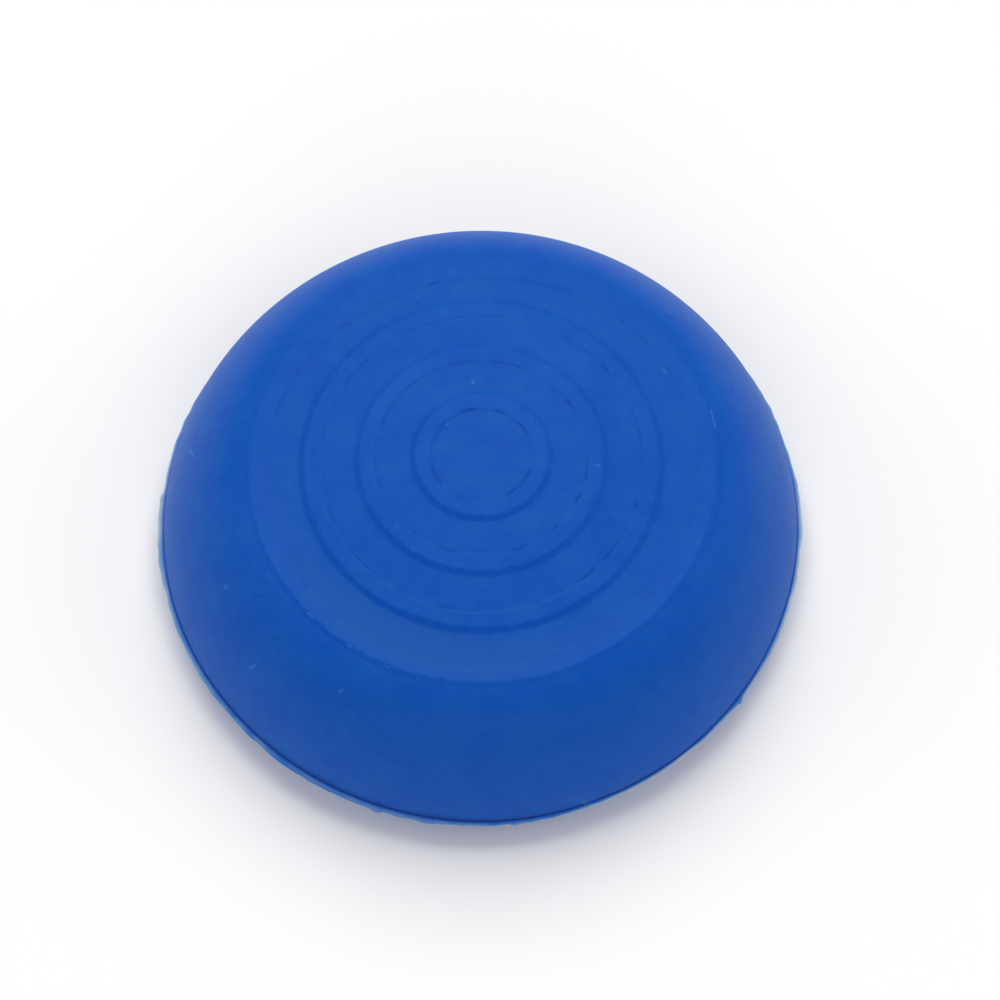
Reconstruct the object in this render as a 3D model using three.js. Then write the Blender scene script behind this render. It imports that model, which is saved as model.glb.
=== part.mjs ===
import * as THREE from 'three';

// Thumb grip: a soft cap that is stretched over the head of a controller's thumb stick.
// It is one moulded piece with a ridged, slightly domed crown, a rounded shoulder, a thin parting-line
// fin at the widest place, and a hollow underside with a lip that turns inwards and holds on to the stick.
// Millimetres, +Z up, origin at the middle of the base.

// Outer body
const RIM_DIAMETER = 20;
const CROWN_HEIGHT = 6.6;
const CROWN_RADIUS = 22;
const EDGE_LIFT = 0.33;
const EDGE_LIFT_POWER = 1.5;
const SHOULDER_WIDTH = 2.74;
const SHOULDER_UPPER_FULLNESS = 0.27;
const SHOULDER_LOWER_FULLNESS = 0.28;
const SIDE_LEAN_DEGREES = 5;
const PARTING_HEIGHT = 1.2;
const FIN_WIDTH = 0.16;
const FIN_THICKNESS = 0.1;
const LOWER_STEP = 0.12;
const BASE_ROUNDING = 1.0;

// Raised rings on the crown, around a plain disc
const DISC_DIAMETER = 3.06;
const DISC_RECESS = 0.04;
const RIDGE_COUNT = 4;
const RIDGE_WIDTH = 0.56;
const INNER_WALL_HEIGHT = 0.03;
const INNER_WALL_DRAFT = 0.08;
const OUTER_WALL_HEIGHT = 0.085;
const EDGE_WALL_HEIGHT = 0.11;
const OUTER_WALL_DRAFT = 0.17;
const RIDGE_ROUNDING = 0.05;

// Hollow underside
const TOP_WALL = 1.9;
const SIDE_WALL = 1.0;
const SEAT_INSET = 1.46;
const LIP_OVERHANG = 2.2;
const LIP_THICKNESS = 0.9;
const LIP_RISE = 0.12;
const LIP_ROUNDING = 0.3;

// Fineness of the surface
const SEGMENTS_AROUND = 60;
const SHOULDER_STEPS = 10;
const BASE_ROUNDING_STEPS = 4;
const EDGE_STEPS = 2;
const FOOT_STEPS = 1;

const CORNERS_PER_RIDGE = 4;

const rimRadius = RIM_DIAMETER / 2;
const sideRadius = rimRadius - FIN_WIDTH;
const lowerRadius = sideRadius - LOWER_STEP;
const insideRadius = sideRadius - SIDE_WALL;
const mouthRadius = insideRadius - LIP_OVERHANG;
const crownEdgeRadius = rimRadius - SHOULDER_WIDTH;
const firstInner = DISC_DIAMETER / 2;
const lastInner = crownEdgeRadius - OUTER_WALL_DRAFT / 2 - RIDGE_WIDTH;
const ridgePitch = (lastInner - firstInner) / Math.max(RIDGE_COUNT - 1, 1);
const liftStart = lastInner - ridgePitch + RIDGE_WIDTH;
const finTop = PARTING_HEIGHT + FIN_THICKNESS / 2;
const finBottom = PARTING_HEIGHT - FIN_THICKNESS / 2;

function point(radius, height) {
  return new THREE.Vector2(radius, height);
}

// A point at a distance from one point towards another, and no further than that other point.
function towards(from, to, distance) {
  return from.clone().lerp(to, Math.min(distance / from.distanceTo(to), 1));
}

// The points of a corner rounded off between its two neighbours.
function roundedCorner(before, corner, after, rounding, steps) {
  const start = towards(corner, before, rounding);
  const end = towards(corner, after, rounding);
  return new THREE.QuadraticBezierCurve(start, corner, end).getPoints(steps);
}

// Height of the even crown that the rings follow: a sphere, which past the last ring but one is lifted
// more and more towards the crown's edge, so that the outermost land and ring lie nearly level.
function crownHeight(radius) {
  const sphere = CROWN_HEIGHT - CROWN_RADIUS + Math.sqrt(CROWN_RADIUS ** 2 - radius ** 2);
  const share = THREE.MathUtils.clamp((radius - liftStart) / (crownEdgeRadius - liftStart), 0, 1);
  return sphere + EDGE_LIFT * share ** EDGE_LIFT_POWER;
}

// A point on the even crown, or this far off it.
function crownPoint(radius, offset) {
  return point(radius, crownHeight(radius) + offset);
}

// The four corners of one ridge: its inner foot, the two edges of its top, and its outer foot.
// Half of each wall lies above the even crown and half below it. The outer walls are the higher ones,
// so the crown descends in shallow terraces.
function ridgeCorners(index) {
  const inner = firstInner + index * ridgePitch;
  const outer = inner + RIDGE_WIDTH;
  const innerHalf = (index === 0 ? DISC_RECESS : INNER_WALL_HEIGHT) / 2;
  const outerHalf = (index === RIDGE_COUNT - 1 ? EDGE_WALL_HEIGHT : OUTER_WALL_HEIGHT) / 2;
  return [
    crownPoint(inner - INNER_WALL_DRAFT / 2, -innerHalf),
    crownPoint(inner + INNER_WALL_DRAFT / 2, innerHalf),
    crownPoint(outer - OUTER_WALL_DRAFT / 2, outerHalf),
    crownPoint(outer + OUTER_WALL_DRAFT / 2, -outerHalf),
  ];
}

// The crown from its middle to the outer foot of the last ridge.
function crownProfile() {
  const middle = crownPoint(0, -DISC_RECESS / 2);
  const corners = [middle];
  for (let index = 0; index < RIDGE_COUNT; index += 1) {
    corners.push(...ridgeCorners(index));
  }
  const profile = [middle];
  for (let index = 1; index < corners.length - 1; index += 1) {
    const [before, corner, after] = corners.slice(index - 1, index + 2);
    const place = (index - 1) % CORNERS_PER_RIDGE;
    const isTopEdge = place === 1 || place === 2;
    const steps = isTopEdge ? EDGE_STEPS : FOOT_STEPS;
    const room = Math.min(corner.distanceTo(before), corner.distanceTo(after)) / 2;
    profile.push(...roundedCorner(before, corner, after, Math.min(RIDGE_ROUNDING, room), steps));
  }
  profile.push(corners[corners.length - 1]);
  return profile;
}

// The shoulder leaves the crown's edge at the sphere's slope and comes down on the leaning side wall.
function shoulderProfile(crownEdge) {
  const rimEdge = point(sideRadius, finTop);
  const reach = crownEdge.distanceTo(rimEdge);
  const slope = Math.asin(crownEdge.x / CROWN_RADIUS);
  const lean = THREE.MathUtils.degToRad(SIDE_LEAN_DEGREES);
  const outwards = point(Math.cos(slope), -Math.sin(slope));
  const upwards = point(-Math.sin(lean), Math.cos(lean));
  const curve = new THREE.CubicBezierCurve(
    crownEdge,
    crownEdge.clone().addScaledVector(outwards, SHOULDER_UPPER_FULLNESS * reach),
    rimEdge.clone().addScaledVector(upwards, SHOULDER_LOWER_FULLNESS * reach),
    rimEdge,
  );
  return curve.getPoints(SHOULDER_STEPS);
}

// The parting-line fin, and under it the narrower lower wall with its rounded corner.
function rimProfile() {
  const wallTop = point(lowerRadius, finBottom);
  const baseCorner = point(lowerRadius, 0);
  const baseEnd = point(mouthRadius, 0);
  return [
    point(rimRadius, finTop),
    point(rimRadius, finBottom),
    wallTop,
    ...roundedCorner(wallTop, baseCorner, baseEnd, BASE_ROUNDING, BASE_ROUNDING_STEPS),
  ];
}

// The shoulder moved inwards by the side wall's thickness.
function insideOf(shoulder) {
  return shoulder.map((current, index) => {
    const before = shoulder[Math.max(index - 1, 0)];
    const after = shoulder[Math.min(index + 1, shoulder.length - 1)];
    const along = after.clone().sub(before).normalize();
    return point(current.x + along.y * SIDE_WALL, current.y - along.x * SIDE_WALL);
  });
}

// The lip with its rounded tip, the inside wall that follows the shoulder, and the flat ceiling that
// rests on the stick's head.
function hollowProfile(shoulder) {
  const base = point(lowerRadius, 0);
  const lipUnder = point(mouthRadius, 0);
  const lipOver = point(mouthRadius, LIP_THICKNESS);
  const lipRoot = point(insideRadius, LIP_THICKNESS + LIP_RISE);
  const seatEdge = point(crownEdgeRadius - SEAT_INSET, CROWN_HEIGHT - TOP_WALL);
  const insideWall = insideOf(shoulder)
    .filter((inner) => inner.y > lipRoot.y && inner.y < seatEdge.y && inner.x > seatEdge.x)
    .reverse();
  return [
    ...roundedCorner(base, lipUnder, lipOver, LIP_ROUNDING, EDGE_STEPS),
    ...roundedCorner(lipUnder, lipOver, lipRoot, LIP_ROUNDING, EDGE_STEPS),
    lipRoot,
    ...insideWall,
    seatEdge,
    point(0, seatEdge.y),
  ];
}

// Neighbouring stretches share an end point, which is kept once.
function withoutRepeats(points) {
  return points.filter((current, index) => index === 0 || current.distanceTo(points[index - 1]) > 1e-6);
}

function gripCap() {
  const crown = crownProfile();
  const shoulder = shoulderProfile(crown[crown.length - 1]);
  const profile = withoutRepeats([...crown, ...shoulder, ...rimProfile(), ...hollowProfile(shoulder)]);
  const geometry = new THREE.LatheGeometry(profile.reverse(), SEGMENTS_AROUND);
  geometry.rotateX(Math.PI / 2);
  const silicone = new THREE.MeshStandardMaterial({
    color: new THREE.Color().setRGB(0.13, 0.35, 0.71, THREE.SRGBColorSpace),
    roughness: 0.7,
    metalness: 0,
  });
  const mesh = new THREE.Mesh(geometry, silicone);
  mesh.name = 'grip_cap';
  return mesh;
}

const thumbGrip = new THREE.Group();
thumbGrip.add(gripCap());

export default thumbGrip;
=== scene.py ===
import math

import bpy
import numpy as np
from mathutils import Matrix, Vector


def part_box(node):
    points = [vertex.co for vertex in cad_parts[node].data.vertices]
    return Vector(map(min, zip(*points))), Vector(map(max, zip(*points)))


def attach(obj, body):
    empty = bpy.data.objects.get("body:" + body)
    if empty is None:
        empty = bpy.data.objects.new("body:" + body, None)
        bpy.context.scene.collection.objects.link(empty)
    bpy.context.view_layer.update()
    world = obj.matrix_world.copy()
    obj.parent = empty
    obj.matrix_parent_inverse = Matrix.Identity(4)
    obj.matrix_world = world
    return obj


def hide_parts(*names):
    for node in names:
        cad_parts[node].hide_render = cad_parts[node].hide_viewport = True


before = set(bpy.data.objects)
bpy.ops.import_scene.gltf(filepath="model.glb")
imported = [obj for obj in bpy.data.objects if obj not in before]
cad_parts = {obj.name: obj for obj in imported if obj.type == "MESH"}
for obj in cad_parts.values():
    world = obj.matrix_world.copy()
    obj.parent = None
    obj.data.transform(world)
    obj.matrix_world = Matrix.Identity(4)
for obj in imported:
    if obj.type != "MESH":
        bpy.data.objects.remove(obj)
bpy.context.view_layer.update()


# The cap: one piece of soft blue silicone, moulded between two tools that meet at the rim, where a thin torn
# fin of flash stays. Its crown has four raised rings about a plain disc, its shoulder leans out to the rim,
# and its flat base has a hollow, with a lip turned inwards, that grips the head of a thumb stick.
MM = 0.001
_, cap_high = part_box("grip_cap")
RIM_RADIUS = cap_high[0] / MM
CROWN_HEIGHT = 6.6
CROWN_RADIUS = 22.0
EDGE_LIFT = 0.33
EDGE_LIFT_POWER = 1.5
SHOULDER_WIDTH = 2.74
SHOULDER_UPPER_FULLNESS = 0.27
SHOULDER_LOWER_FULLNESS = 0.28
SIDE_LEAN = math.radians(5.0)
PARTING_HEIGHT = 1.2
FIN_WIDTH = 0.16
FIN_THICKNESS = 0.1
LOWER_STEP = 0.12
BASE_ROUNDING = 1.0
DISC_RADIUS = 1.53
RIDGE_COUNT = 4
RIDGE_WIDTH = 0.56
DISC_RECESS = 0.04
INNER_WALL_HEIGHT = 0.03
INNER_WALL_DRAFT = 0.12
OUTER_WALL_HEIGHT = 0.085
EDGE_WALL_HEIGHT = 0.11
OUTER_WALL_DRAFT = 0.17
RIDGE_ROUNDING_HALF = 0.03
TOP_WALL = 1.9
SIDE_WALL = 1.0
SEAT_INSET = 1.46
LIP_OVERHANG = 2.2
LIP_THICKNESS = 0.9
LIP_RISE = 0.12
LIP_ROUNDING = 0.3
LIP_ROOT_ROUNDING = 0.15

TURN_STEPS = 560
turn = np.linspace(-np.pi, np.pi, TURN_STEPS, endpoint=False)
crown_edge = RIM_RADIUS - SHOULDER_WIDTH
side_radius = RIM_RADIUS - FIN_WIDTH
lower_radius = side_radius - LOWER_STEP
inside_radius = side_radius - SIDE_WALL
mouth_radius = inside_radius - LIP_OVERHANG
ridge_pitch = (crown_edge - OUTER_WALL_DRAFT / 2 - RIDGE_WIDTH - DISC_RADIUS) / (RIDGE_COUNT - 1)
ridge_inner = DISC_RADIUS + ridge_pitch * np.arange(RIDGE_COUNT)
ridge_outer = ridge_inner + RIDGE_WIDTH
lift_start = ridge_outer[-2]
last_ring = RIDGE_COUNT - 1


def wander(seed, slowest, fastest):
    """A smooth random line round the cap: the sum of the sines that fit between slowest and fastest times
    into one turn, each with a random size and start, scaled so that its usual size is one."""
    dice = np.random.default_rng(seed)
    waves = np.arange(slowest, fastest + 1)[:, None]
    sizes = dice.normal(size=waves.shape)
    starts = dice.uniform(0.0, 2.0 * np.pi, size=waves.shape)
    line = (sizes * np.sin(waves * turn + starts)).sum(axis=0)
    return line / np.sqrt((sizes ** 2).sum() / 2.0)


def wander_over(radius, seed, slowest, fastest):
    """The same over the whole crown: two such lines that take turns as the radius grows, the first times the
    cosine and the second times the sine of an angle that grows evenly with the radius."""
    angle_per_mm = 2.4
    one = wander(seed, slowest, fastest)
    other = wander(seed + 1, slowest, fastest)
    return one * np.cos(angle_per_mm * radius) + other * np.sin(angle_per_mm * radius)


def degrees_from(place):
    """The turn from one place on the rim, from -180 to 180 degrees. The right is 0 and the front is -90."""
    return (np.degrees(turn) - place + 180.0) % 360.0 - 180.0


def bump_at(place, width):
    """A bell round one place on the rim: e to the minus square of the degrees from it over its width."""
    return np.exp(-(degrees_from(place) / width) ** 2)


def crown_height(radius):
    """The even crown under the rings: a sphere, lifted past the third ring by a power of the share of the way
    from there to the crown's edge."""
    sphere = CROWN_HEIGHT - CROWN_RADIUS + np.sqrt(CROWN_RADIUS ** 2 - radius ** 2)
    share = np.clip((radius - lift_start) / (crown_edge - lift_start), 0.0, 1.0)
    return sphere + EDGE_LIFT * share ** EDGE_LIFT_POWER


def ring_relief(radius):
    """How far the surface stands off the even crown. Each ring has a low step at its inner edge and a sloping
    wall at its outer edge; straight lands join them, and the mean over a small window rounds the corners."""
    stations, offsets = [0.0], [-DISC_RECESS / 2]
    for ring in range(RIDGE_COUNT):
        inner_half = (DISC_RECESS if ring == 0 else INNER_WALL_HEIGHT) / 2
        outer_half = (EDGE_WALL_HEIGHT if ring == last_ring else OUTER_WALL_HEIGHT) / 2
        inner, outer = ridge_inner[ring], ridge_outer[ring]
        stations += [inner - INNER_WALL_DRAFT / 2, inner + INNER_WALL_DRAFT / 2]
        offsets += [-inner_half, inner_half]
        stations += [outer - OUTER_WALL_DRAFT / 2, outer + OUTER_WALL_DRAFT / 2]
        offsets += [outer_half, -outer_half]
    window_steps = 7
    window = np.linspace(-RIDGE_ROUNDING_HALF, RIDGE_ROUNDING_HALF, window_steps)
    return sum(np.interp(radius + shift, stations, offsets) for shift in window) / len(window)


def crown_stations():
    """Radii of the crown's rows: close together across each line, wide apart on the lands between."""
    first_row, disc_margin, disc_rows = 0.1, 0.16, 4
    line_half, line_margin, line_rows = 0.1, 0.17, 9
    wall_half, wall_margin, wall_rows = 0.13, 0.18, 11
    ridge_rows = 2
    land_margin, land_rows = 0.2, 4
    rows = [np.linspace(first_row, DISC_RADIUS - disc_margin, disc_rows)]
    for ring in range(RIDGE_COUNT):
        inner, outer = ridge_inner[ring], ridge_outer[ring]
        rows.append(np.linspace(inner - line_half, inner + line_half, line_rows))
        rows.append(np.linspace(inner + line_margin, outer - wall_margin, ridge_rows))
        rows.append(np.linspace(outer - wall_half, outer + wall_half, wall_rows))
        if ring < last_ring:
            rows.append(np.linspace(outer + land_margin, inner + ridge_pitch - line_margin, land_rows))
    return np.concatenate(rows)


def shoulder_curve(share):
    """A cubic curve from the crown's edge, where it keeps the sphere's slope, to the leaning side wall."""
    start = np.array([crown_edge, crown_height(crown_edge) - EDGE_WALL_HEIGHT / 2])
    end = np.array([side_radius, PARTING_HEIGHT + FIN_THICKNESS / 2])
    reach = np.linalg.norm(end - start)
    slope = math.asin(crown_edge / CROWN_RADIUS)
    pull_out = start + SHOULDER_UPPER_FULLNESS * reach * np.array([math.cos(slope), -math.sin(slope)])
    pull_up = end + SHOULDER_LOWER_FULLNESS * reach * np.array([-math.sin(SIDE_LEAN), math.cos(SIDE_LEAN)])
    t = share[:, None]
    return ((1 - t) ** 3 * start + 3 * (1 - t) ** 2 * t * pull_out
            + 3 * (1 - t) * t ** 2 * pull_up + t ** 3 * end)


def rounded(before, corner, after, radius, steps):
    """A corner rounded off by a quadratic curve that starts and ends this far from it."""
    before, corner, after = (np.array(point, dtype=float) for point in (before, corner, after))
    start = corner + (before - corner) * min(radius / np.linalg.norm(before - corner), 1.0)
    end = corner + (after - corner) * min(radius / np.linalg.norm(after - corner), 1.0)
    t = np.linspace(0.0, 1.0, steps)[:, None]
    return (1 - t) ** 2 * start + 2 * (1 - t) * t * corner + t ** 2 * end


crown_radii = crown_stations()
crown_rows = np.stack([crown_radii, crown_height(crown_radii)], axis=1)
SHOULDER_STEPS = 25
shoulder_rows = shoulder_curve(np.linspace(0.0, 1.0, SHOULDER_STEPS))[1:]

# The fin is a wedge that thins from its root to a rounded edge.
FIN_FOLD = 0.01
FIN_TAPER, FIN_TAPER_HALF = 0.06, 0.03
FIN_TIP, FIN_TIP_HALF = 0.01, 0.02
FIN_UNDER_FOLD = 0.02
fin_top = PARTING_HEIGHT + FIN_THICKNESS / 2
fin_bottom = PARTING_HEIGHT - FIN_THICKNESS / 2
fin_rows = np.array([
    [side_radius - FIN_FOLD, fin_top + FIN_FOLD],
    [side_radius + FIN_FOLD, fin_top - FIN_FOLD],
    [RIM_RADIUS - FIN_TAPER, PARTING_HEIGHT + FIN_TAPER_HALF],
    [RIM_RADIUS - FIN_TIP, PARTING_HEIGHT + FIN_TIP_HALF],
    [RIM_RADIUS, PARTING_HEIGHT],
    [RIM_RADIUS - FIN_TIP, PARTING_HEIGHT - FIN_TIP_HALF],
    [RIM_RADIUS - FIN_TAPER, PARTING_HEIGHT - FIN_TAPER_HALF],
    [lower_radius + FIN_UNDER_FOLD, fin_bottom],
])

# Under the fin: the rounded lower edge, the base, the lip, and the hollow, whose wall follows the shoulder.
BASE_STEPS, LIP_STEPS, LIP_ROOT_STEPS, INNER_WALL_STEPS, SEAT_STEPS = 6, 4, 3, 12, 3
WALL_ABOVE_LIP = 0.05
SEAT_LAST_ROW = 0.5
base_corner = [lower_radius, 0.0]
mouth_under = [mouth_radius, 0.0]
mouth_over = [mouth_radius, LIP_THICKNESS]
lip_root = [inside_radius, LIP_THICKNESS + LIP_RISE]
base_rows = rounded([lower_radius, fin_bottom], base_corner, mouth_under, BASE_ROUNDING, BASE_STEPS)
lip_rows = np.concatenate([
    rounded(base_corner, mouth_under, mouth_over, LIP_ROUNDING, LIP_STEPS),
    rounded(mouth_under, mouth_over, lip_root, LIP_ROUNDING, LIP_STEPS),
])
seat_edge = np.array([crown_edge - SEAT_INSET, CROWN_HEIGHT - TOP_WALL])
outer_wall = shoulder_curve(np.linspace(1.0, 0.0, INNER_WALL_STEPS))
along = np.gradient(outer_wall, axis=0)
along /= np.linalg.norm(along, axis=1)[:, None]
inner_wall = outer_wall + SIDE_WALL * np.stack([-along[:, 1], along[:, 0]], axis=1)
clear_of_lip = inner_wall[:, 1] > lip_root[1] + WALL_ABOVE_LIP
outside_seat = inner_wall[:, 0] > seat_edge[0]
inner_wall = inner_wall[clear_of_lip & outside_seat]
lip_root_rows = rounded(lip_rows[-1], lip_root, inner_wall[0], LIP_ROOT_ROUNDING, LIP_ROOT_STEPS)
seat_radii = np.linspace(seat_edge[0], SEAT_LAST_ROW, SEAT_STEPS)
seat_rows = np.stack([seat_radii, np.full(SEAT_STEPS, seat_edge[1])], axis=1)

outside = np.concatenate([crown_rows, shoulder_rows, fin_rows, base_rows])
profile = np.concatenate([outside, lip_rows, lip_root_rows, inner_wall, seat_rows])
radius = profile[:, :1] * np.ones_like(turn)
height = profile[:, 1:] * np.ones_like(turn)

# Where the rows lie: the crown, the outside under it, the crease where the shoulder meets the fin, the fin's
# root and the fin.
FIN_ROWS = 5
fin_start = len(crown_rows) + len(shoulder_rows)
on_crown = slice(0, len(crown_rows))
on_side = slice(len(crown_rows), len(outside))
crease = slice(fin_start - 1, fin_start + 1)
above_crease = crease.start - 1
fin_root = crease.stop
fin = slice(fin_root + 1, fin_root + 1 + FIN_ROWS)

# The rings aren't quite in the middle and their lines waver. The last ring starts further in at the far
# side, where its outer wall is nearly worn away, and its edge stands further out at the right, where all
# walls are low.
OFF_CENTRE_X, OFF_CENTRE_Y, WAVER = 0.035, 0.01, 0.005
LAST_LINE_IN, LAST_LINE_REACH = 0.31, 0.35
LAST_EDGE_OUT = 0.07
WORN_AT_FAR_SIDE, WORN_AT_RIGHT, WORN_REACH = 0.8, 0.4, 0.2
nominal = crown_radii[:, None]
past_last_line = nominal - ridge_inner[-1]
shift = OFF_CENTRE_X * np.cos(turn) + OFF_CENTRE_Y * np.sin(turn) + WAVER * wander_over(nominal, 11, 5, 40)
shift = shift * np.clip(nominal / DISC_RADIUS, 0.0, 1.0)
shift -= LAST_LINE_IN * bump_at(105.0, 55.0) * np.exp(-(past_last_line / LAST_LINE_REACH) ** 2)
shift += LAST_EDGE_OUT * bump_at(0.0, 32.0) * np.clip(past_last_line / RIDGE_WIDTH, 0.0, 1.0)
radius[on_crown] += shift
worn = WORN_AT_FAR_SIDE * bump_at(95.0, 70.0) * np.clip(past_last_line / WORN_REACH, 0.0, 1.0)
worn = np.maximum(worn, WORN_AT_RIGHT * bump_at(20.0, 60.0))
height[on_crown] = crown_height(radius[on_crown]) + ring_relief(nominal) * (1.0 - worn)

# The soft body doesn't stand quite round: it is fuller at the left, the right, the far side and the front.
# Each flaw has its place in degrees, its size in millimetres and its width in degrees.
ROUNDNESS_FLAWS = (
    (-165.0, 0.07, 22.0), (-88.0, 0.035, 14.0), (-3.0, 0.045, 15.0),
    (150.0, 0.08, 40.0), (40.0, 0.05, 40.0),
)
out_of_round = sum(size * bump_at(place, width) for place, size, width in ROUNDNESS_FLAWS)
share = np.clip((radius[on_side] - crown_edge) / (side_radius - crown_edge), 0.0, 1.0)
on_shoulder = height[on_side] > PARTING_HEIGHT
radius[on_side] += share ** 2 * out_of_round + on_shoulder * (1.0 - share) ** 2 * shift[-1]
height[on_side] += on_shoulder * (1.0 - share) ** 3 * worn[-1] * EDGE_WALL_HEIGHT / 2

# The groove along each ring's inner line is cut in dashes of uneven depth, deepest at the near right. Round
# the disc it is deepest at the front and least at the left, and along the last ring it is shallow all round.
GROOVE_DEPTH = 0.02
GROOVE_REACH = 0.04
groove = np.zeros_like(radius)
for number, line in enumerate(ridge_inner):
    depth = 0.65 + 0.35 * bump_at(-30.0, 70.0)
    if number == 0:
        depth = 0.9 + 0.5 * bump_at(-90.0, 50.0) - 0.4 * bump_at(180.0, 60.0)
    if number == last_ring:
        depth = 0.4
    dashes = np.clip(0.4 + 0.6 * wander(40 + number, 3, int(10 * line)), 0.0, 1.4)
    groove[on_crown] += np.exp(-((nominal - line) / GROOVE_REACH) ** 2) * depth * dashes
height -= GROOVE_DEPTH * groove
# The same mask also paints the grooves darker: painted shade, deepest where the groove is deepest.
painted_shade = groove.copy()

# Painted shade on the outer walls: a darker blue band with ragged edges, plain to see at the near left, where
# the walls face away from the main lamp, and hardly at the far side. The upper edge of each wall gets the
# darkest painted shade, in dashes.
WALL_RAGGED, LAST_WALL_RAGGED = 0.026, 0.035
WALL_EDGE_BLUR = 0.04
EDGE_SHADE_REACH, EDGE_SHADE_DARKNESS = 0.035, 0.7
wall_shade = np.zeros_like(radius)
for number, line in enumerate(ridge_outer):
    strength = 0.12 + 0.88 * bump_at(-108.0, 68.0)
    ragged = WALL_RAGGED
    if number == last_ring:
        strength = strength * (0.5 + 0.5 * bump_at(-135.0, 30.0))
        ragged = LAST_WALL_RAGGED
    strength = strength * (1.0 + 0.15 * wander(50 + number, 6, int(20 * line)))
    half = 0.055 + 0.025 * bump_at(-95.0, 60.0)
    inner_edge = line - half + ragged * wander(60 + number, 25, int(22 * line))
    outer_edge = line + half + ragged * wander(70 + number, 25, int(22 * line))
    past_inner = np.clip((nominal - inner_edge) / WALL_EDGE_BLUR + 0.5, 0.0, 1.0)
    before_outer = np.clip((outer_edge - nominal) / WALL_EDGE_BLUR + 0.5, 0.0, 1.0)
    wall_shade[on_crown] += strength * (past_inner * before_outer)
    edge_dashes = np.clip(0.3 + 0.6 * wander(80 + number, 8, int(18 * line)), 0.0, 1.2)
    edge_shade = np.exp(-((nominal - inner_edge) / EDGE_SHADE_REACH) ** 2)
    painted_shade[on_crown] += EDGE_SHADE_DARKNESS * strength * edge_dashes * edge_shade
wall_shade = np.clip(wall_shade, 0.0, 1.2)
painted_shade = np.clip(painted_shade, 0.0, 1.0)

# The fin is uneven all round, narrow at the near right and the far side, wide where it tore late, and carries
# a few nubs. Each tear has its place in degrees, its size in millimetres and its half width in degrees.
FIN_TEARS = (
    (-177.0, 0.05, 9.0), (3.0, 0.02, 6.0), (-36.5, 0.09, 0.5),
    (-108.5, 0.05, 0.8), (-99.5, 0.03, 1.4), (-84.0, 0.04, 0.5),
)
TEAR_SLOPE = 0.8
FIN_WAVE = 0.01
CREASE_DEPTH = 0.015
fin_extra = 0.008 * wander(31, 6, 40) + 0.006 * wander(32, 40, 120)
fin_extra += 0.02 * bump_at(-126.0, 16.0) - 0.09 * bump_at(-55.0, 30.0) - 0.12 * bump_at(90.0, 72.0)
for place, size, width in FIN_TEARS:
    fin_extra += size * np.clip((width - np.abs(degrees_from(place))) / TEAR_SLOPE + 0.5, 0.0, 1.0)
body = side_radius + out_of_round
radius[fin] = body + (radius[fin] - body) * (1.0 + fin_extra / FIN_WIDTH)
height[fin] += FIN_WAVE * wander(33, 5, 30)
radius[crease] -= CREASE_DEPTH

# The fin is palest at the left and the right. At the near left it gets painted shade but for a thin pale top,
# and ragged painted shade lies along the crease above it. The crease and the fin's root get painted shade
# nearly all round.
near_left = bump_at(-124.0, 36.0)
palest = np.maximum(bump_at(-178.0, 20.0), bump_at(-8.0, 30.0))
fin_pale = np.zeros_like(radius)
fin_pale[fin] = np.clip(0.5 + 0.4 * palest + 0.12 * wander(34, 6, 50), 0.15, 1.0)
fin_pale[fin.start] *= 0.35 + 0.5 * palest
crease_shade = np.clip(0.6 + 0.4 * wander(90, 12, 100), 0.0, 1.0)
crease_shade = crease_shade * np.maximum(near_left, 0.5 * bump_at(-70.0, 35.0))
fin_pale[fin.start] += 0.25 * near_left * np.clip(0.7 + 0.3 * wander(91, 12, 100), 0.0, 1.2)
fin_pale[fin.start + 1:fin.stop] *= 1.0 - 0.95 * near_left
painted_shade[above_crease - 1] = 0.25 * crease_shade
painted_shade[above_crease] = 0.85 * crease_shade
painted_shade[crease] = 1.0 - 0.7 * bump_at(-22.0, 18.0)
painted_shade[fin_root] = 0.9 - 0.8 * palest
painted_shade[fin.start + 1:fin.stop] = near_left

# Round the last ring the blue is a little more violet at the near left.
PATCH_RADIUS, PATCH_REACH = 6.4, 0.9
violet = np.zeros_like(radius)
violet[on_crown] = bump_at(-112.0, 48.0) * np.exp(-((nominal - PATCH_RADIUS) / PATCH_REACH) ** 2)


def revolved(name, radius, height, top, bottom):
    """A closed mesh from rows of points: each row is one circle, its radius and height given for every turn,
    so a point is (radius cos turn, radius sin turn, height). A point on the axis closes each end."""
    rows, columns = radius.shape
    circles = np.stack([radius * np.cos(turn), radius * np.sin(turn), height], axis=-1).reshape(-1, 3)
    points = np.concatenate([circles, [[0.0, 0.0, top], [0.0, 0.0, bottom]]]) * MM
    column = np.arange(columns)
    beside = np.roll(column, -1)
    row = np.arange(rows - 1)[:, None] * columns
    quads = np.stack([row + column, row + columns + column, row + columns + beside, row + beside], axis=-1)
    quads = quads.reshape(-1, 4)
    first = np.stack([column, beside, np.full(columns, rows * columns)], axis=-1)
    last = (rows - 1) * columns
    final = np.stack([last + beside, last + column, np.full(columns, rows * columns + 1)], axis=-1)
    triangles = np.concatenate([first, final])
    corners = np.concatenate([quads.ravel(), triangles.ravel()]).astype(np.int32)
    totals = np.concatenate([np.full(len(quads), 4), np.full(len(triangles), 3)]).astype(np.int32)
    starts = (np.cumsum(totals) - totals).astype(np.int32)
    mesh = bpy.data.meshes.new(name)
    mesh.vertices.add(len(points))
    mesh.vertices.foreach_set("co", points.ravel())
    mesh.loops.add(len(corners))
    mesh.loops.foreach_set("vertex_index", corners)
    mesh.polygons.add(len(totals))
    mesh.polygons.foreach_set("loop_start", starts)
    mesh.update(calc_edges=True)
    mesh.validate()
    mesh.shade_smooth()
    made = bpy.data.objects.new(name, mesh)
    bpy.context.scene.collection.objects.link(made)
    return made


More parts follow.
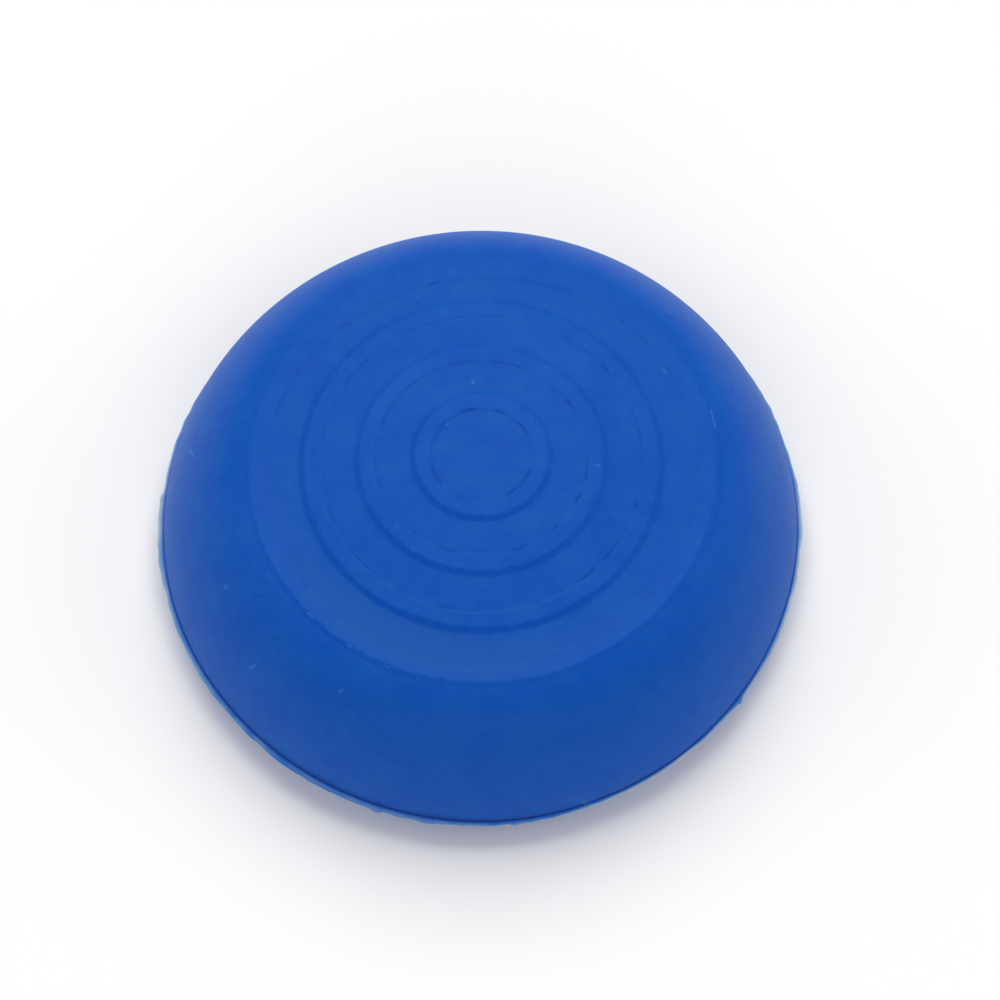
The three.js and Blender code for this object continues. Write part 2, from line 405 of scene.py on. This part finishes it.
cap = revolved("silicone_cap", radius, height, crown_height(0.0) - DISC_RECESS / 2, seat_edge[1])
# The masks the mesh carries: painted shade in the grooves, creases and fin, painted shade on the outer walls,
# the pale of the flash and the violet patch.
masks = {"painted_shade": painted_shade, "painted_wall_shade": wall_shade, "fin_pale": fin_pale, "violet_patch": violet}
for mask_name, mask in masks.items():
    values = np.concatenate([mask.ravel(), [0.0, 0.0]])
    cap.data.attributes.new(mask_name, "FLOAT", "POINT").data.foreach_set("value", values)
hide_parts("grip_cap")
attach(cap, "root")


def place_node(tree, kind, settings=None, **inputs):
    """A shader node of this kind, with its settings and its inputs set, or linked where a socket is given. An
    input's name has underscores for its spaces, and n0, n1 and so on are inputs by their number."""
    node = tree.nodes.new("ShaderNode" + kind)
    for setting, value in (settings or {}).items():
        setattr(node, setting, value)
    for key, value in inputs.items():
        by_number = key[0] == "n" and key[1:].isdigit()
        socket = node.inputs[int(key[1:]) if by_number else key.replace("_", " ")]
        if isinstance(value, bpy.types.NodeSocket):
            tree.links.new(value, socket)
        else:
            socket.default_value = value
    return node


def combine(tree, operation, first, second=0.0, third=None):
    """One sum on one, two or three values."""
    extra = {} if third is None else {"n2": third}
    return place_node(tree, "Math", {"operation": operation}, n0=first, n1=second, **extra).outputs[0]


def shift_point(tree, operation, first, second, **more):
    """One sum on whole points."""
    return place_node(tree, "VectorMath", {"operation": operation}, n0=first, n1=second, **more).outputs[0]


def mark_group():
    """A shader group for one small straight mark. Its mask is one on the line through Middle along Direction
    degrees for Length, seen from above, and fades to nothing at Width from it, in millimetres."""
    group = bpy.data.node_groups.new("small_mark", "ShaderNodeTree")
    for name, kind in (("Position", "Vector"), ("Middle", "Vector"), ("Direction", "Float"),
                       ("Length", "Float"), ("Width", "Float")):
        group.interface.new_socket(name, in_out="INPUT", socket_type="NodeSocket" + kind)
    group.interface.new_socket("Mask", in_out="OUTPUT", socket_type="NodeSocketFloat")
    given = group.nodes.new("NodeGroupInput").outputs
    result = group.nodes.new("NodeGroupOutput").inputs
    moved = shift_point(group, "SUBTRACT", given["Position"], given["Middle"])
    angle = combine(group, "RADIANS", given["Direction"])
    angle = combine(group, "MULTIPLY", angle, -1.0)
    turned = place_node(group, "VectorRotate", {"rotation_type": "Z_AXIS"}, Vector=moved, Angle=angle)
    parts = place_node(group, "SeparateXYZ", Vector=turned.outputs[0]).outputs
    half = combine(group, "MULTIPLY", given["Length"], 0.5)
    past_end = combine(group, "SUBTRACT", combine(group, "ABSOLUTE", parts["X"]), half)
    past_end = combine(group, "MAXIMUM", past_end, 0.0)
    across = combine(group, "MULTIPLY", parts["Y"], parts["Y"])
    away = combine(group, "SQRT", combine(group, "MULTIPLY_ADD", past_end, past_end, across))
    share = combine(group, "DIVIDE", away, given["Width"])
    smooth = {"interpolation_type": "SMOOTHSTEP"}
    mask = place_node(group, "MapRange", smooth, Value=share, From_Min=1.0, From_Max=0.0)
    group.links.new(mask.outputs[0], result["Mask"])
    return group


# Small marks on the crown and shoulder: middle, direction in degrees, length and width in millimetres.
PALE_MARKS = (
    (3.55, -0.24, 4.0, 0.13, 0.045), (-7.73, -3.53, -50.0, 0.12, 0.05), (-6.9, -5.79, 0.0, 0.12, 0.05),
    (-4.19, -7.05, 0.0, 0.05, 0.08), (-8.95, 1.32, -70.0, 0.4, 0.05), (5.83, 5.52, -35.0, 0.2, 0.045),
    (7.12, 1.6, -76.0, 0.6, 0.05), (5.66, 3.18, -60.0, 0.2, 0.045), (-0.23, 2.51, -90.0, 0.08, 0.06),
    (-1.0, 1.03, 0.0, 0.03, 0.06), (-2.5, -2.3, 80.0, 0.05, 0.05), (3.27, -9.3, 7.0, 0.22, 0.06),
    (-5.12, -4.9, -42.0, 0.2, 0.035), (-3.92, -5.9, -37.0, 0.1, 0.045), (-2.8, -6.56, -28.0, 0.14, 0.03),
)
DARK_MARKS = (
    (3.18, -3.76, 37.0, 0.7, 0.04), (-6.73, -4.09, 8.0, 0.2, 0.06), (-7.63, -4.27, -64.0, 0.16, 0.06),
    (-6.2, -5.35, -10.0, 0.25, 0.06), (-6.08, -5.79, -62.0, 0.1, 0.06), (-4.03, 4.77, 49.0, 0.14, 0.09),
    (-1.98, 5.46, 39.0, 0.3, 0.07), (-0.86, 3.2, 24.0, 0.36, 0.05), (-0.34, 3.26, 0.0, 0.09, 0.07),
    (-2.68, 1.74, 61.0, 0.24, 0.06), (-2.94, 1.24, 78.0, 0.14, 0.07), (-1.5, 6.19, 17.0, 0.36, 0.05),
)
# The body's blues and its violet patch, the blue of painted shade on the outer walls, the blue of painted
# shade in grooves and creases, which the dark marks share, and the pales of the marks and the flash.
DEEP_BLUE = (0.0, 0.080, 0.445)
VIOLET_BLUE = (0.003, 0.093, 0.455)
PATCH_BLUE = (0.008, 0.095, 0.42)
SHADE_AND_MARK_BLUE = (0.0, 0.053, 0.33)
WALL_SHADE_BLUE = (0.0, 0.079, 0.465)
PALE_BLUE = (0.08, 0.29, 0.62)
FLASH_BLUE = (0.40, 0.43, 0.48)
MOTTLE_SHARE, CLOUD_SHARE = 0.65, 0.35
SHADE_AND_MARK_STRENGTH = 0.55
PALE_STRENGTH = 0.35
LATHE_PER_MM, LATHE_PER_TURN = 9.0, 7.0
NEAR_AXIS = 0.3
FRAY = 0.09
CLOUD_HEIGHT, GRAIN_HEIGHT, LATHE_HEIGHT = 0.012, 0.0022, 0.004

silicone = bpy.data.materials.new("blue_silicone")
silicone.use_nodes = True
tree = silicone.node_tree
shader = tree.nodes["Principled BSDF"]


def noise(where, scale, detail, roughness=0.5):
    """A noise pattern, with its number of blotches to the millimetre as the scale."""
    return place_node(tree, "TexNoise", Vector=where, Scale=scale, Detail=detail, Roughness=roughness)


# The places in millimetres, and the same wound round the axis, for faint marks that follow the rings.
surface = place_node(tree, "TexCoord").outputs["Object"]
at = place_node(tree, "VectorMath", {"operation": "SCALE"}, Vector=surface, Scale=1.0 / MM).outputs[0]
parts = place_node(tree, "SeparateXYZ", Vector=at).outputs
across = combine(tree, "MULTIPLY", parts["Y"], parts["Y"])
from_axis = combine(tree, "SQRT", combine(tree, "MULTIPLY_ADD", parts["X"], parts["X"], across))
divisor = combine(tree, "MAXIMUM", from_axis, NEAR_AXIS)
cosine = combine(tree, "DIVIDE", parts["X"], divisor)
sine = combine(tree, "DIVIDE", parts["Y"], divisor)
lathe_at = place_node(
    tree, "CombineXYZ",
    X=combine(tree, "MULTIPLY", from_axis, LATHE_PER_MM),
    Y=combine(tree, "MULTIPLY", cosine, LATHE_PER_TURN),
    Z=combine(tree, "MULTIPLY", sine, LATHE_PER_TURN),
).outputs[0]

mottle = noise(at, scale=0.75, detail=3.0, roughness=0.6).outputs["Fac"]
cloud = noise(at, scale=2.6, detail=2.0).outputs["Fac"]
grain = noise(at, scale=14.0, detail=3.0, roughness=0.6).outputs["Fac"]
lathe = noise(lathe_at, scale=1.0, detail=2.0).outputs["Fac"]

mark = mark_group()
frayed = noise(at, scale=16.0, detail=1.0).outputs["Color"]
frayed = shift_point(tree, "MULTIPLY_ADD", frayed, (FRAY,) * 3, n2=at)
frayed = shift_point(tree, "SUBTRACT", frayed, (FRAY / 2,) * 3)


def marks_mask(marks):
    """The greatest of the masks of these marks, which only the outside above the parting line shows."""
    mask = 0.0
    for x, y, direction, length, width in marks:
        node = place_node(tree, "Group", {"node_tree": mark}, Position=frayed, Middle=(x, y, 0.0),
                          Direction=direction, Length=length, Width=width)
        mask = combine(tree, "MAXIMUM", mask, node.outputs["Mask"])
    above_base = combine(tree, "GREATER_THAN", parts["Z"], PARTING_HEIGHT)
    return combine(tree, "MULTIPLY", mask, above_base)


def blend(amount, under, over):
    """One colour laid over another by this amount."""
    node = place_node(tree, "Mix", {"data_type": "RGBA"}, Factor=amount)
    for socket, colour in ((node.inputs[6], under), (node.inputs[7], over)):
        if isinstance(colour, bpy.types.NodeSocket):
            tree.links.new(colour, socket)
        else:
            socket.default_value = (*colour, 1.0)
    return node.outputs[2]


def painted(mask_name):
    """The mask of this name that the mesh carries."""
    return place_node(tree, "Attribute", {"attribute_name": mask_name}).outputs["Fac"]


# The colour, from the mottled body through the painted shade and the dark marks to the pale marks and the fin
# on top.
pale_marks = marks_mask(PALE_MARKS)
dark_marks = marks_mask(DARK_MARKS)
clouded = combine(tree, "MULTIPLY", cloud, CLOUD_SHARE)
clouded = combine(tree, "ADD", combine(tree, "MULTIPLY", mottle, MOTTLE_SHARE), clouded)
violet_share = place_node(tree, "MapRange", Value=clouded, From_Min=0.4, From_Max=0.6).outputs[0]
# Painted shade from the mesh and the real dark marks take one darker blue.
shade_and_marks = combine(tree, "MAXIMUM", painted("painted_shade"), dark_marks)
colour = blend(violet_share, DEEP_BLUE, VIOLET_BLUE)
colour = blend(painted("violet_patch"), colour, PATCH_BLUE)
colour = blend(painted("painted_wall_shade"), colour, WALL_SHADE_BLUE)
colour = blend(combine(tree, "MULTIPLY", shade_and_marks, SHADE_AND_MARK_STRENGTH), colour, SHADE_AND_MARK_BLUE)
colour = blend(combine(tree, "MULTIPLY", pale_marks, PALE_STRENGTH), colour, PALE_BLUE)
colour = blend(painted("fin_pale"), colour, FLASH_BLUE)
tree.links.new(colour, shader.inputs["Base Color"])

# The finish: silky, with a faint relief, and light goes a little way into it.
roughness = place_node(tree, "MapRange", Value=grain, From_Min=0.3, From_Max=0.7, To_Min=0.48, To_Max=0.62)
tree.links.new(roughness.outputs[0], shader.inputs["Roughness"])
relief = combine(tree, "MULTIPLY", cloud, CLOUD_HEIGHT)
relief = combine(tree, "MULTIPLY_ADD", grain, GRAIN_HEIGHT, relief)
relief = combine(tree, "MULTIPLY_ADD", lathe, LATHE_HEIGHT, relief)
bump = place_node(tree, "Bump", Height=relief, Distance=MM, Strength=1.0)
tree.links.new(bump.outputs["Normal"], shader.inputs["Normal"])
shader.inputs["IOR"].default_value = 1.41
shader.inputs["Specular IOR Level"].default_value = 0.15
shader.inputs["Subsurface Weight"].default_value = 0.5
shader.inputs["Subsurface Radius"].default_value = (0.15, 0.5, 1.0)
shader.inputs["Subsurface Scale"].default_value = 0.8 * MM
shader.inputs["Sheen Weight"].default_value = 0.05
shader.inputs["Sheen Roughness"].default_value = 0.35
cap.data.materials.append(silicone)


# The floor.
# A plain white table top, so wide that its edge never shows.
FLOOR_HALF = 0.6
TABLE_WHITE = (0.96, 0.955, 0.945, 1.0)
floor_corners = [(x * FLOOR_HALF, y * FLOOR_HALF, 0) for x, y in ((-1, -1), (1, -1), (1, 1), (-1, 1))]
floor_mesh = bpy.data.meshes.new("floor")
floor_mesh.from_pydata(floor_corners, [], [(0, 1, 2, 3)])
floor = bpy.data.objects.new("floor", floor_mesh)
bpy.context.scene.collection.objects.link(floor)
floor_paint = bpy.data.materials.new("white_table")
floor_paint.use_nodes = True
floor_shader = floor_paint.node_tree.nodes["Principled BSDF"]
floor_shader.inputs["Base Color"].default_value = TABLE_WHITE
floor_shader.inputs["Roughness"].default_value = 0.9
floor_shader.inputs["Specular IOR Level"].default_value = 0.2
floor_mesh.materials.append(floor_paint)


# The light.
# A wide soft lamp high behind the cap, three weaker ones at the left, the right and the front, and an even
# pale room around it.
ROOM_STRENGTH = 0.27
world = bpy.data.worlds.new("pale_room")
world.use_nodes = True
room = world.node_tree.nodes["Background"]
room.inputs["Color"].default_value = (1.0, 1.0, 1.0, 1.0)
room.inputs["Strength"].default_value = ROOM_STRENGTH
bpy.context.scene.world = world


def soft_lamp(name, where, size, watts):
    """A square lamp that faces the middle of the cap."""
    data = bpy.data.lights.new(name, "AREA")
    data.shape = "SQUARE"
    data.size = size
    data.energy = watts
    lamp = bpy.data.objects.new(name, data)
    lamp.location = where
    lamp.rotation_euler = (-Vector(where)).to_track_quat("-Z", "Y").to_euler()
    bpy.context.scene.collection.objects.link(lamp)


soft_lamp("back_lamp", (0.0, 0.3, 0.52), 0.5, 2.65)
soft_lamp("left_lamp", (-0.5, 0.0, 0.3), 0.4, 0.55)
soft_lamp("right_lamp", (0.5, 0.0, 0.3), 0.4, 0.55)
soft_lamp("front_lamp", (0.0, -0.47, 0.3), 0.5, 0.85)


# The camera.
# It looks down at the cap from the front, 15 cm away, with the cap a little low and left of the middle.
CAMERA_DISTANCE = 0.150
CAMERA_ELEVATION = math.radians(66.3)
PIXELS_PER_METRE = 31930.0
FRAME_PIXELS = 1000
RIM_CENTRE_PIXEL = (481.0, 525.2)
back = Vector((0.0, -math.cos(CAMERA_ELEVATION), math.sin(CAMERA_ELEVATION)))
picture_up = Vector((0.0, math.sin(CAMERA_ELEVATION), math.cos(CAMERA_ELEVATION)))
picture_right = Vector((1.0, 0.0, 0.0))
aim = Vector((0.0, 0.0, PARTING_HEIGHT * MM))
aim += picture_right * ((FRAME_PIXELS / 2 - RIM_CENTRE_PIXEL[0]) / PIXELS_PER_METRE)
aim += picture_up * ((RIM_CENTRE_PIXEL[1] - FRAME_PIXELS / 2) / PIXELS_PER_METRE)
camera_data = bpy.data.cameras.new("camera")
camera_data.sensor_width = 36.0
camera_data.lens = camera_data.sensor_width * CAMERA_DISTANCE * PIXELS_PER_METRE / FRAME_PIXELS
camera_data.clip_start = 0.01
camera_data.clip_end = 10.0
camera = bpy.data.objects.new("camera", camera_data)
camera.location = aim + back * CAMERA_DISTANCE
camera.rotation_euler = Matrix((picture_right, picture_up, back)).transposed().to_euler()
bpy.context.scene.collection.objects.link(camera)
bpy.context.scene.camera = camera
bpy.context.scene.view_settings.view_transform = "Standard"
